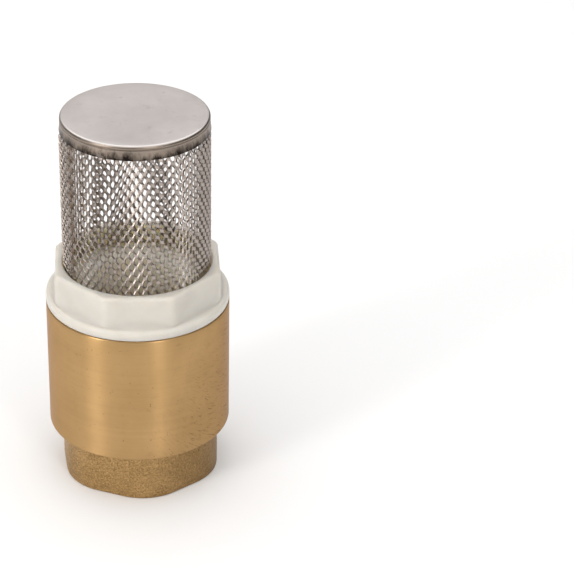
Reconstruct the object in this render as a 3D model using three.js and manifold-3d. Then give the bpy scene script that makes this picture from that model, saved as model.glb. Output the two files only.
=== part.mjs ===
// A foot valve: the spring-loaded check valve and strainer that hang on the lower end of a suction pipe.
// Units are millimetres. The valve stands on its outlet end: the origin is the centre of the outlet end
// face, and +Z runs up the axis, against the flow, to the strainer cap.

import * as THREE from "three";
import { mergeVertices } from "three/addons/utils/BufferGeometryUtils.js";
import Module from "manifold-3d";

const wasm = await Module();
wasm.setup();

// ---- Driving dimensions ----

// The G 1 1/4 parallel pipe thread of the outlet and of the strainer nut. Threads are plain cylinders here.
const THREAD_MINOR_R = 38.952 / 2;
const THREAD_PITCH_R = 40.431 / 2;

// Distances that neighbours keep from each other.
const FIT_GAP = 0.3; // round pieces inside one another
const SEAT_GAP = 0.1; // the seal on its seat

// Levels along the axis, from the outlet end face up.
const WEB_Z = 16.2; // outlet side of the web that guides the stem
const BARREL_Z = 17.4; // hexagonal collar below, turned barrel above
const WEB_TOP_Z = 20.7;
const GUIDE_TOP_Z = 25.5;
const SEAT_Z = 45; // underside of the seat bush
const BODY_TOP_Z = 62.2;
const FLANGE_TOP_Z = 65.9;
const RECESS_Z = 69; // floor of the nut's recess, which holds the mesh
const NUT_TOP_Z = 76.2;
const SKIRT_Z = 123.2; // lower edge of the cap
const TOP_Z = 128;

// Valve body
const BODY_R = 30;
const HEX_FLATS = 50.8;
const HEX_CORNER_R = 17.3; // so round that the collar is nearly a cylinder
const HEX_ANGLE = 95.5; // degrees from +X to a hex corner
const BARREL_CHAMFER = 0.5;
const MOUTH_R = 21.8;
const RELIEF_R = 19.9;
const RELIEF_LENGTH = 2;
const HUB_R = 9.3;
const PORT_R = 17.25;
const BRIDGE_WIDTH = 9.9; // the bridge runs along Y, with a port on each side
const STEM_BORE_R = 3.6;
const STEM_COUNTERBORE_R = 4.2;
const STEM_COUNTERBORE_DEPTH = 2.5;
const GUIDE_R = 6.2;
const CHAMBER_R = 25.2;
const INLET_R = 26.6;

// Seat bush and its ring
const SEAT_R = 16;
const SEAT_HEIGHT = 4.5;
const RING_GROOVE_Z = 46.4;
const RING_GROOVE_HEIGHT = 2.6;
const RING_GROOVE_DEPTH = 2.4;
const RING_WIRE_R = 1.15;

// Poppet
const STEM_R = 3.35;
const STEM_TIP_Z = 7.2;
const STEM_TIP_CHAMFER = 0.5;
const SHOULDER_R = 5.4;
const SHOULDER_HEIGHT = 3.5;
const DISC_R = 20.1;
const DISC_Z = 39.5;
const SEAL_Z = 42.8;
const SEAL_R = 19.5;
const RETAINER_R = 15;
const RETAINER_TOP_Z = 48;
const EDGE_CHAMFER = 1; // on the disc and on the retainer
const STEM_HEAD_R = 4.7;
const STEM_TOP_Z = 49.6;

// Return spring
const SPRING_R = 7.9;
const SPRING_WIRE_R = 0.7;
const SPRING_TURNS = 5;

// Strainer nut
const NUT_FLATS = 53.3;
const NUT_CORNER_R = 3.3;
const FLANGE_EDGE_R = 1.3;
const NUT_BORE_R = 15;
const RECESS_R = 24.05;
const SPIGOT_Z = 51;

// Strainer mesh and cap
const MESH_R = 23.55;
const MESH_THICKNESS = 0.7;
const MESH_TOP_Z = 127;
const MESH_COLUMNS = 16; // openings around
const MESH_ROWS = 9; // half rows from the bottom edge to the top edge
const STRAND_WIDTH = 2.2;
const CAP_R = 23.9;
const CAP_EDGE_R = 1.3;
const SKIRT_THICKNESS = 0.3;
const CAP_THICKNESS = 0.6;

const ROUND_SEGMENTS = 48;
const SMALL_SEGMENTS = 24;

// ---- Materials ----

const brass = { color: 0xb4915f, roughness: 0.35, metalness: 1 };
const whiteNylon = { color: 0xe1dcd4, roughness: 0.45, metalness: 0 };
const blackPlastic = { color: 0x1c1c1d, roughness: 0.55, metalness: 0 };
const blackRubber = { color: 0x141414, roughness: 0.8, metalness: 0 };
const stainless = { color: 0xbdb3aa, roughness: 0.4, metalness: 1 };

// ---- Helpers ----

const degrees = THREE.MathUtils.degToRad;

function solid(geometry) {
  const bare = geometry.clone();
  bare.deleteAttribute("normal");
  bare.deleteAttribute("uv");
  const merged = mergeVertices(bare, 1e-4);
  return new wasm.Manifold(
    new wasm.Mesh({
      numProp: 3,
      vertProperties: merged.attributes.position.array,
      triVerts: new Uint32Array(merged.index.array),
    }),
  );
}

function geometryOf(manifold) {
  const { vertProperties, triVerts } = manifold.getMesh();
  const geometry = new THREE.BufferGeometry();
  geometry.setAttribute("position", new THREE.BufferAttribute(vertProperties, 3));
  geometry.setIndex(new THREE.BufferAttribute(triVerts, 1));
  geometry.computeVertexNormals();
  return geometry;
}

// A turned shape: the outline is a list of [radius, z], counter-clockwise with the radius to the right.
function turned(outline, segments = ROUND_SEGMENTS) {
  const points = outline.map(([r, z]) => new THREE.Vector2(r, z));
  return new THREE.LatheGeometry(points, segments).rotateX(Math.PI / 2);
}

// A turned ring: the outline closes on itself.
function turnedRing(outline, segments = ROUND_SEGMENTS) {
  return turned([...outline, outline[0]], segments);
}

// Points of a quarter-round edge on an outline, from one angle to another about a centre.
function edgeArc(r, z, radius, from, to, steps = 3) {
  return Array.from({ length: steps + 1 }, (_, i) => {
    const angle = degrees(from + ((to - from) * i) / steps);
    return [r + radius * Math.cos(angle), z + radius * Math.sin(angle)];
  });
}

// A regular polygon with rounded corners, the first corner at the given angle in degrees.
function roundedPolygon(sides, acrossFlats, cornerRadius, firstCorner) {
  const shape = new THREE.Shape();
  const half = Math.PI / sides;
  const cornerDistance = (acrossFlats / 2 - cornerRadius) / Math.cos(half);
  for (let i = 0; i < sides; i++) {
    const angle = degrees(firstCorner) + 2 * half * i;
    const x = cornerDistance * Math.cos(angle);
    const y = cornerDistance * Math.sin(angle);
    shape.absarc(x, y, cornerRadius, angle - half, angle + half, false);
  }
  return shape;
}

function extruded(shape, z, height, curveSegments = 5) {
  const options = { depth: height, bevelEnabled: false, curveSegments };
  return new THREE.ExtrudeGeometry(shape, options).translate(0, 0, z);
}

function part(name, geometry, look) {
  const mesh = new THREE.Mesh(geometry, new THREE.MeshStandardMaterial(look));
  mesh.name = name;
  return mesh;
}

// ---- Valve body: one brass casting, turned and bored ----

function hexCollar() {
  const shape = roundedPolygon(6, HEX_FLATS, HEX_CORNER_R, HEX_ANGLE);
  return extruded(shape, 0, BARREL_Z);
}

function barrel() {
  return turned([
    [0, BARREL_Z],
    [BODY_R - BARREL_CHAMFER, BARREL_Z],
    [BODY_R, BARREL_Z + BARREL_CHAMFER],
    [BODY_R, BODY_TOP_Z],
    [0, BODY_TOP_Z],
  ]);
}

function outletSocket() {
  const chamferTop = MOUTH_R - THREAD_MINOR_R;
  return turned([
    [0, -1],
    [MOUTH_R + 1, -1],
    [THREAD_MINOR_R, chamferTop],
    [THREAD_MINOR_R, WEB_Z - RELIEF_LENGTH],
    [RELIEF_R, WEB_Z - RELIEF_LENGTH],
    [RELIEF_R, WEB_Z],
    [0, WEB_Z],
  ]);
}

// The chamber around the stem guide, and the wider inlet that takes the seat bush.
function chamber() {
  return turned([
    [0, GUIDE_TOP_Z],
    [GUIDE_R, GUIDE_TOP_Z],
    [GUIDE_R, WEB_TOP_Z],
    [CHAMBER_R, WEB_TOP_Z],
    [CHAMBER_R, SEAT_Z],
    [INLET_R, SEAT_Z],
    [INLET_R, BODY_TOP_Z + 1],
    [0, BODY_TOP_Z + 1],
  ]);
}

// One of the two kidney-shaped ports beside the bridge: side is 1 towards +X, -1 towards -X.
function kidneyPort(side) {
  const outerAngle = Math.asin(BRIDGE_WIDTH / 2 / PORT_R);
  const innerAngle = Math.asin(BRIDGE_WIDTH / 2 / HUB_R);
  const shape = new THREE.Shape();
  shape.absarc(0, 0, PORT_R, outerAngle, Math.PI - outerAngle, false);
  shape.absarc(0, 0, HUB_R, Math.PI - innerAngle, innerAngle, true);
  return extruded(shape, WEB_Z - 1, WEB_TOP_Z - WEB_Z + 2, 10).rotateZ((-side * Math.PI) / 2);
}

function stemBore() {
  return turned(
    [
      [0, WEB_Z - 1],
      [STEM_COUNTERBORE_R, WEB_Z - 1],
      [STEM_COUNTERBORE_R, WEB_Z + STEM_COUNTERBORE_DEPTH],
      [STEM_BORE_R, WEB_Z + STEM_COUNTERBORE_DEPTH],
      [STEM_BORE_R, GUIDE_TOP_Z + 1],
      [0, GUIDE_TOP_Z + 1],
    ],
    SMALL_SEGMENTS,
  );
}

function valveBody() {
  const blank = solid(barrel()).add(solid(hexCollar()));
  const cuts = [outletSocket(), chamber(), kidneyPort(1), kidneyPort(-1), stemBore()];
  const body = cuts.reduce((left, cut) => left.subtract(solid(cut)), blank);
  return part("valve_body", geometryOf(body), brass);
}

// ---- Seat bush: screwed into the inlet, with the seat below and the strainer's thread above ----

function inletBush() {
  const outerR = INLET_R - FIT_GAP;
  const threadR = THREAD_PITCH_R + FIT_GAP / 2;
  const grooveR = outerR - RING_GROOVE_DEPTH;
  const bush = turnedRing([
    [SEAT_R, SEAT_Z],
    [outerR, SEAT_Z],
    [outerR, RING_GROOVE_Z],
    [grooveR, RING_GROOVE_Z],
    [grooveR, RING_GROOVE_Z + RING_GROOVE_HEIGHT],
    [outerR, RING_GROOVE_Z + RING_GROOVE_HEIGHT],
    [outerR, BODY_TOP_Z - FIT_GAP],
    [threadR, BODY_TOP_Z - FIT_GAP],
    [threadR, SEAT_Z + SEAT_HEIGHT],
    [SEAT_R, SEAT_Z + SEAT_HEIGHT],
  ]);
  return part("inlet_bush", bush, brass);
}

function bushRing() {
  const ringR = INLET_R - RING_WIRE_R - SEAT_GAP;
  const ringZ = RING_GROOVE_Z + RING_GROOVE_HEIGHT / 2;
  const ring = new THREE.TorusGeometry(ringR, RING_WIRE_R, 8, ROUND_SEGMENTS);
  return part("bush_o_ring", ring.translate(0, 0, ringZ), blackRubber);
}

// ---- Poppet: stem, disc, seal and retainer, which move together ----

function poppetStem() {
  const stem = turned(
    [
      [0, STEM_TIP_Z],
      [STEM_R - STEM_TIP_CHAMFER, STEM_TIP_Z],
      [STEM_R, STEM_TIP_Z + STEM_TIP_CHAMFER],
      [STEM_R, DISC_Z - SHOULDER_HEIGHT],
      [SHOULDER_R, DISC_Z - SHOULDER_HEIGHT],
      [SHOULDER_R, DISC_Z],
      [STEM_R, DISC_Z],
      [STEM_R, RETAINER_TOP_Z],
      [STEM_HEAD_R, RETAINER_TOP_Z],
      [STEM_HEAD_R - EDGE_CHAMFER, STEM_TOP_Z],
      [0, STEM_TOP_Z],
    ],
    SMALL_SEGMENTS,
  );
  return part("poppet_stem", stem, whiteNylon);
}

function poppetDisc() {
  const bore = STEM_R + FIT_GAP;
  const disc = turnedRing([
    [bore, DISC_Z],
    [DISC_R - EDGE_CHAMFER, DISC_Z],
    [DISC_R, DISC_Z + EDGE_CHAMFER],
    [DISC_R, SEAL_Z],
    [bore, SEAL_Z],
  ]);
  return part("poppet_disc", disc, blackPlastic);
}

function seatSeal() {
  const bore = STEM_R + FIT_GAP;
  const seal = turnedRing([
    [bore, SEAL_Z],
    [SEAL_R, SEAL_Z],
    [SEAL_R, SEAT_Z - SEAT_GAP],
    [bore, SEAT_Z - SEAT_GAP],
  ]);
  return part("seat_seal", seal, blackRubber);
}

function sealRetainer() {
  const bore = STEM_R + FIT_GAP;
  const retainer = turnedRing([
    [bore, SEAT_Z - SEAT_GAP],
    [RETAINER_R, SEAT_Z - SEAT_GAP],
    [RETAINER_R, RETAINER_TOP_Z - EDGE_CHAMFER],
    [RETAINER_R - EDGE_CHAMFER, RETAINER_TOP_Z],
    [bore, RETAINER_TOP_Z],
  ]);
  return part("seal_retainer", retainer, whiteNylon);
}

// ---- Return spring: a compression coil from the web to the back of the disc ----

class Helix extends THREE.Curve {
  constructor(radius, low, high, turns) {
    super();
    Object.assign(this, { radius, low, high, turns });
  }

  getPoint(t, target = new THREE.Vector3()) {
    const angle = 2 * Math.PI * this.turns * t;
    const z = THREE.MathUtils.lerp(this.low, this.high, t);
    return target.set(this.radius * Math.cos(angle), this.radius * Math.sin(angle), z);
  }
}

function returnSpring() {
  const end = SPRING_WIRE_R + FIT_GAP;
  const path = new Helix(SPRING_R, WEB_TOP_Z + end, DISC_Z - end, SPRING_TURNS);
  const wire = new THREE.Shape().absarc(0, 0, SPRING_WIRE_R, 0, 2 * Math.PI, false);
  const options = { steps: 12 * SPRING_TURNS, curveSegments: 3, bevelEnabled: false, extrudePath: path };
  return part("return_spring", new THREE.ExtrudeGeometry(wire, options), stainless);
}

// ---- Strainer nut: octagon, flange and threaded spigot in one moulding ----

function strainerNut() {
  const octagonShape = roundedPolygon(8, NUT_FLATS, NUT_CORNER_R, 22.5);
  const octagon = extruded(octagonShape, FLANGE_TOP_Z, NUT_TOP_Z - FLANGE_TOP_Z, 4);
  const spigotR = THREAD_PITCH_R - FIT_GAP / 2;
  const flangeAndSpigot = turned([
    [0, SPIGOT_Z],
    [spigotR, SPIGOT_Z],
    [spigotR, BODY_TOP_Z],
    ...edgeArc(BODY_R - FLANGE_EDGE_R, BODY_TOP_Z + FLANGE_EDGE_R, FLANGE_EDGE_R, -90, 0),
    ...edgeArc(BODY_R - FLANGE_EDGE_R, FLANGE_TOP_Z - FLANGE_EDGE_R, FLANGE_EDGE_R, 0, 90),
    [0, FLANGE_TOP_Z],
  ]);
  const inside = turned([
    [0, SPIGOT_Z - 1],
    [NUT_BORE_R, SPIGOT_Z - 1],
    [NUT_BORE_R, RECESS_Z],
    [RECESS_R, RECESS_Z],
    [RECESS_R, NUT_TOP_Z + 1],
    [0, NUT_TOP_Z + 1],
  ]);
  const nut = solid(octagon).add(solid(flangeAndSpigot)).subtract(solid(inside));
  return part("strainer_nut", geometryOf(nut), whiteNylon);
}

// ---- Strainer mesh: a rolled sleeve of diamond openings, coarser than the real expanded metal ----

// Openings sit on a grid of half columns (i) and half rows (j), wherever i + j is odd. The rows at both
// ends hold no opening: there the corners fall on the sleeve's straight edge.
function meshCorner(i, j, side, radius) {
  const step = Math.PI / MESH_COLUMNS;
  const bottom = RECESS_Z + FIT_GAP;
  const rise = (MESH_TOP_Z - bottom) / MESH_ROWS;
  const atEdge = j === 0 || j === MESH_ROWS;
  const inset = STRAND_WIDTH / 2;
  const across = atEdge ? 1 : 1 - inset / (step * MESH_R);
  const along = atEdge ? 0 : rise - inset * (rise / (step * MESH_R));
  const sideways = { left: -across, right: across, top: 0, bottom: 0 }[side];
  const upwards = { left: 0, right: 0, top: along, bottom: -along }[side];
  const turn = (i + sideways + 2 * MESH_COLUMNS) % (2 * MESH_COLUMNS);
  const r = j === MESH_ROWS ? radius - FIT_GAP : radius;
  const z = bottom + rise * j + upwards;
  return [r * Math.cos(step * turn), r * Math.sin(step * turn), z];
}

function meshSleeve() {
  const triangles = [];
  const innerR = MESH_R - MESH_THICKNESS;
  const quad = (a, b, c, d) => triangles.push(...a, ...b, ...c, ...a, ...c, ...d);
  const bothFaces = (corners) => {
    quad(...corners.map(([i, j, side]) => meshCorner(i, j, side, MESH_R)));
    quad(...corners.map(([i, j, side]) => meshCorner(i, j, side, innerR)).reverse());
  };
  const wall = (i, j, from, to) => {
    const [a, b] = [from, to].map((side) => meshCorner(i, j, side, MESH_R));
    const [c, d] = [to, from].map((side) => meshCorner(i, j, side, innerR));
    quad(a, b, c, d);
  };
  for (let i = 0; i < 2 * MESH_COLUMNS; i++) {
    for (let j = 0; j <= MESH_ROWS; j++) {
      const isOpening = (i + j) % 2 === 1;
      const inside = j > 0 && j < MESH_ROWS;
      if (isOpening && j < MESH_ROWS) {
        // the strands that rise to the left and to the right of this opening
        bothFaces([[i, j, "right"], [i + 1, j + 1, "bottom"], [i + 1, j + 1, "left"], [i, j, "top"]]);
        bothFaces([[i, j, "top"], [i - 1, j + 1, "right"], [i - 1, j + 1, "bottom"], [i, j, "left"]]);
      }
      if (isOpening && j < MESH_ROWS) {
        wall(i, j, "right", "top");
        wall(i, j, "top", "left");
      }
      if (isOpening && j > 0) {
        wall(i, j, "left", "bottom");
        wall(i, j, "bottom", "right");
      }
      if (!isOpening && inside) {
        // the knot where four strands meet
        bothFaces([[i - 1, j, "right"], [i, j - 1, "top"], [i + 1, j, "left"], [i, j + 1, "bottom"]]);
      }
    }
  }
  const geometry = new THREE.BufferGeometry();
  geometry.setAttribute("position", new THREE.Float32BufferAttribute(triangles, 3));
  return geometry;
}

function strainerMesh() {
  return part("strainer_mesh", geometryOf(solid(meshSleeve())), stainless);
}

// ---- Strainer cap: a shallow pressed cup over the end of the mesh ----

function strainerCap() {
  const innerR = CAP_R - SKIRT_THICKNESS;
  const innerEdgeR = CAP_EDGE_R - CAP_THICKNESS;
  const innerTopZ = TOP_Z - CAP_THICKNESS;
  const cap = turned([
    [0, innerTopZ],
    ...edgeArc(innerR - innerEdgeR, innerTopZ - innerEdgeR, innerEdgeR, 90, 0),
    [innerR, SKIRT_Z],
    [CAP_R, SKIRT_Z],
    ...edgeArc(CAP_R - CAP_EDGE_R, TOP_Z - CAP_EDGE_R, CAP_EDGE_R, 0, 90),
    [0, TOP_Z],
  ]);
  return part("strainer_cap", cap, stainless);
}

// ---- Assembly ----

const poppet = new THREE.Group();
poppet.add(poppetStem(), poppetDisc(), seatSeal(), sealRetainer());

const strainer = new THREE.Group();
strainer.add(strainerNut(), strainerMesh(), strainerCap());

const footValve = new THREE.Group();
footValve.add(valveBody(), inletBush(), bushRing(), poppet, returnSpring(), strainer);

export default footValve;
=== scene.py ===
# The looks of the foot valve: fine meshes, materials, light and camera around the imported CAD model.
# Shapes are worked out in millimetres in the valve's own frame, +Z up its axis from the outlet end face,
# and become metres when a mesh is made.

import math

import bmesh
import bpy
import numpy as np
from mathutils import Matrix, Vector, noise


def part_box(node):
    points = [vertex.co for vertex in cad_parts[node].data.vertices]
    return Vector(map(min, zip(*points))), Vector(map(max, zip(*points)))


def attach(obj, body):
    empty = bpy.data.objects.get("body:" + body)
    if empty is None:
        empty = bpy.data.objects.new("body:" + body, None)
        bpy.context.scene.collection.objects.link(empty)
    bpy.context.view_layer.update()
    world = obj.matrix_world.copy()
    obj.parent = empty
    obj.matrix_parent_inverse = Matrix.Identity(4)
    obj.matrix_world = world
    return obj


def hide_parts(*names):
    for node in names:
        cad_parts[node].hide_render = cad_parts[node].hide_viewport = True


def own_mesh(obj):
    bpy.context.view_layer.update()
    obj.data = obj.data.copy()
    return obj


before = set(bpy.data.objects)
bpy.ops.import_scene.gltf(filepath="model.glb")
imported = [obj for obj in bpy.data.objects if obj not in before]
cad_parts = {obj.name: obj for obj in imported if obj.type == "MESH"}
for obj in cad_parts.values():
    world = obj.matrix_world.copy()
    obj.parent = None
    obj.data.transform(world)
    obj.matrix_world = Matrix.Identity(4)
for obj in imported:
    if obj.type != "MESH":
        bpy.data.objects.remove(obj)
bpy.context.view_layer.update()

MM = 0.001
TAU = 2 * math.pi


# ---- Levels and radii of the CAD model, in millimetres ----


def levels(node):
    """Lowest and highest z of a CAD node."""
    low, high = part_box(node)
    return low.z / MM, high.z / MM


def outer_radius(node):
    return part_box(node)[1].x / MM


BODY_TOP = levels("valve_body")[1]
BODY_R = outer_radius("valve_body")
NUT_BOTTOM, NUT_TOP = levels("strainer_nut")
MESH_BOTTOM, MESH_TOP = levels("strainer_mesh")
SKIRT_BOTTOM, CAP_TOP = levels("strainer_cap")
CAP_R = outer_radius("strainer_cap")
STEM_TIP, STEM_TOP = levels("poppet_stem")
DISC_BOTTOM, DISC_TOP = levels("poppet_disc")
DISC_R = outer_radius("poppet_disc")
SEAL_TOP = levels("seat_seal")[1]
SEAL_R = outer_radius("seat_seal")
RETAINER_TOP = levels("seal_retainer")[1]
RETAINER_R = outer_radius("seal_retainer")
BUSH_BOTTOM, BUSH_TOP = levels("inlet_bush")
BUSH_R = outer_radius("inlet_bush")
RING_LOW, RING_HIGH = levels("bush_o_ring")
RING_R = outer_radius("bush_o_ring")
SPRING_LOW, SPRING_HIGH = levels("return_spring")
SPRING_OUTER_R = outer_radius("return_spring")

# ---- Dimensions that only the fine shapes need, in millimetres ----

# G 1 1/4 parallel pipe thread
THREAD_PITCH = 2.309
THREAD_MINOR_R = 19.476
THREAD_MAJOR_R = 20.955
THREAD_MEAN_R = (THREAD_MINOR_R + THREAD_MAJOR_R) / 2

# valve body: collar, web with its hub and ports, and the chambers above the web
BARREL_BOTTOM = 17.4
HEX_FLATS = 50.8
HEX_CORNER_R = 17.3
HEX_ANGLE = math.radians(95.5)
MOUTH_R = 21.8
RUN_OUT_START = 11.2
RUN_OUT_END = 13.6
RUN_OUT_R = THREAD_MINOR_R + 0.05
WEB_Z = 16.2
WEB_TOP = 20.7
GUIDE_TOP = 25.5
RELIEF_R = 19.9
HUB_R = 9.3
PORT_R = 17.25
BRIDGE_WIDTH = 9.9
HUB_BORE_R = 4.2
GUIDE_BORE_R = 3.6
COUNTERBORE = 2.5
GUIDE_R = 6.2
CHAMBER_R = 25.2
INLET_R = 26.6
SEAT_R = 16.0

# strainer nut
FLANGE_TOP = 65.7
NUT_FLATS = 53.3
NUT_CORNER_R = 3.5
RECESS_FLOOR = 69.0
RECESS_R = 24.3
NUT_BORE_R = 15.0

# strainer mesh, rolled with a lap, and the cap pressed over it
MESH_R = 23.65
MESH_METAL = 0.4
SHEET_BOTTOM = MESH_BOTTOM + 0.2
SHEET_TOP = MESH_TOP - 0.4
LAP_EDGE_ANGLE = math.radians(-148)
LAP_WIDTH = math.radians(30)
# the sheet's start lies below its radius and its end above it, easing there over a stretch in radians
LAP_SINK = 0.55
LAP_LIFT = 0.25
SINK_STRETCH = 0.4
LIFT_STRETCH = 0.3
CAP_METAL = 0.35
SKIRT_INNER_R = CAP_R - 0.1 - CAP_METAL

# poppet and return spring
STEM_R = 3.35
SHOULDER_R = 5.4
SHOULDER_HEIGHT = 3.5
DISC_BORE_R = STEM_R + 0.3
SPRING_WIRE_R = 0.7
SPRING_TURNS = 6.5


# ---- Mesh helpers ----


def new_object(name, vertices, faces, smooth_angle=35):
    """A mesh object from millimetre vertices, with sharp edges above smooth_angle degrees."""
    mesh = bpy.data.meshes.new(name)
    mesh.from_pydata((np.asarray(vertices, float) * MM).tolist(), [], faces)
    mesh.validate()
    obj = bpy.data.objects.new(name, mesh)
    bpy.context.scene.collection.objects.link(obj)
    weld(obj)
    smooth(obj, smooth_angle)
    return obj


def weld(obj):
    """Joins points that coincide, drops points without faces, and turns the faces outward."""
    bm = bmesh.new()
    bm.from_mesh(obj.data)
    bmesh.ops.remove_doubles(bm, verts=bm.verts, dist=1e-7)
    bmesh.ops.delete(bm, geom=[v for v in bm.verts if not v.link_faces], context="VERTS")
    bmesh.ops.recalc_face_normals(bm, faces=bm.faces)
    bm.to_mesh(obj.data)
    bm.free()
    obj.data.update()


def smooth(obj, angle):
    """Shades the faces smooth, and keeps edges that turn by more than the angle in degrees sharp."""
    mesh = obj.data
    mesh.polygons.foreach_set("use_smooth", [True] * len(mesh.polygons))
    mesh.set_sharp_from_angle(angle=math.radians(angle))


def surface(name, radius, height, closed=True, smooth_angle=35):
    """A surface round the axis from (rows, columns) arrays. If closed, the last row joins the first."""
    rows, columns = radius.shape
    angle = np.arange(columns) * TAU / columns
    vertices = np.stack([radius * np.cos(angle), radius * np.sin(angle), height], axis=-1)
    faces = []
    for row in range(rows if closed else rows - 1):
        here = row * columns
        there = (row + 1) % rows * columns
        for column in range(columns):
            after = (column + 1) % columns
            faces.append((here + column, here + after, there + after, there + column))
    return new_object(name, vertices.reshape(-1, 3), faces, smooth_angle)


def turned(name, outline, columns, smooth_angle=35):
    """A body of revolution from (radius, z) points. It is a ring, or solid if they start on the axis."""
    points = np.array(outline, float)
    radius = np.repeat(points[:, :1], columns, axis=1)
    height = np.repeat(points[:, 1:], columns, axis=1)
    ring_shaped = points[0, 0] > 0
    return surface(name, radius, height, ring_shaped, smooth_angle)


def on_circle(radius, angle):
    return (radius * math.cos(angle), radius * math.sin(angle))


def arc(r, z, radius, start, end, steps):
    """Points of a rounded edge about (r, z), between two angles in degrees."""
    points = [on_circle(radius, angle) for angle in np.radians(np.linspace(start, end, steps + 1))]
    return [(r + dr, z + dz) for dr, dz in points]


def polygon_radius(angle, sides, across_flats, corner_radius, first_corner):
    """Distance from the axis to a rounded regular polygon, for an array of angles."""
    half = math.pi / sides
    apothem = across_flats / 2
    off_corner = np.abs((angle - first_corner + half) % (2 * half) - half)
    centre = (apothem - corner_radius) / math.cos(half)
    flat = apothem / np.cos(half - off_corner)
    tangent_angle = np.arctan2(corner_radius * math.sin(half), centre + corner_radius * math.cos(half))
    inside = np.clip(corner_radius**2 - (centre * np.sin(off_corner)) ** 2, 0, None)
    rounded = centre * np.cos(off_corner) + np.sqrt(inside)
    return np.where(off_corner < tangent_angle, rounded, flat)


def eased(share):
    """A share from 0 to 1 with soft ends."""
    share = min(max(share, 0), 1)
    return share * share * (3 - 2 * share)


def apply_modifiers(obj):
    """Puts the result of the object's modifiers in the place of its mesh."""
    depsgraph = bpy.context.evaluated_depsgraph_get()
    mesh = bpy.data.meshes.new_from_object(obj.evaluated_get(depsgraph))
    obj.modifiers.clear()
    obj.data = mesh


def joined(name, objects):
    """Several solids of one casting as one object, each with its own materials."""
    with bpy.context.temp_override(
        active_object=objects[0], selected_objects=objects, selected_editable_objects=objects
    ):
        bpy.ops.object.join()
    objects[0].name = name
    return objects[0]


def place(obj, body, slot, *nodes):
    """Fixes the object to a body of the frame, in place of the CAD nodes."""
    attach(obj, body)
    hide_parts(*nodes)


def fractal(x, y, z, size, octaves=3):
    """Smooth random value between about -1 and 1 at a millimetre point, with features of the given size."""
    return noise.fractal(Vector((x, y, z)) / size, 1.0, 2.0, octaves)


def noise_grid(radius, height, size, octaves=3):
    """The fractal's value at each point of a surface round the axis."""
    rows, columns = radius.shape
    values = np.zeros_like(radius)
    for column in range(columns):
        for row in range(rows):
            x, y = on_circle(radius[row, column], TAU * column / columns)
            values[row, column] = fractal(x, y, height[row, column], size, octaves)
    return values


# ---- Material helpers ----


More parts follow.
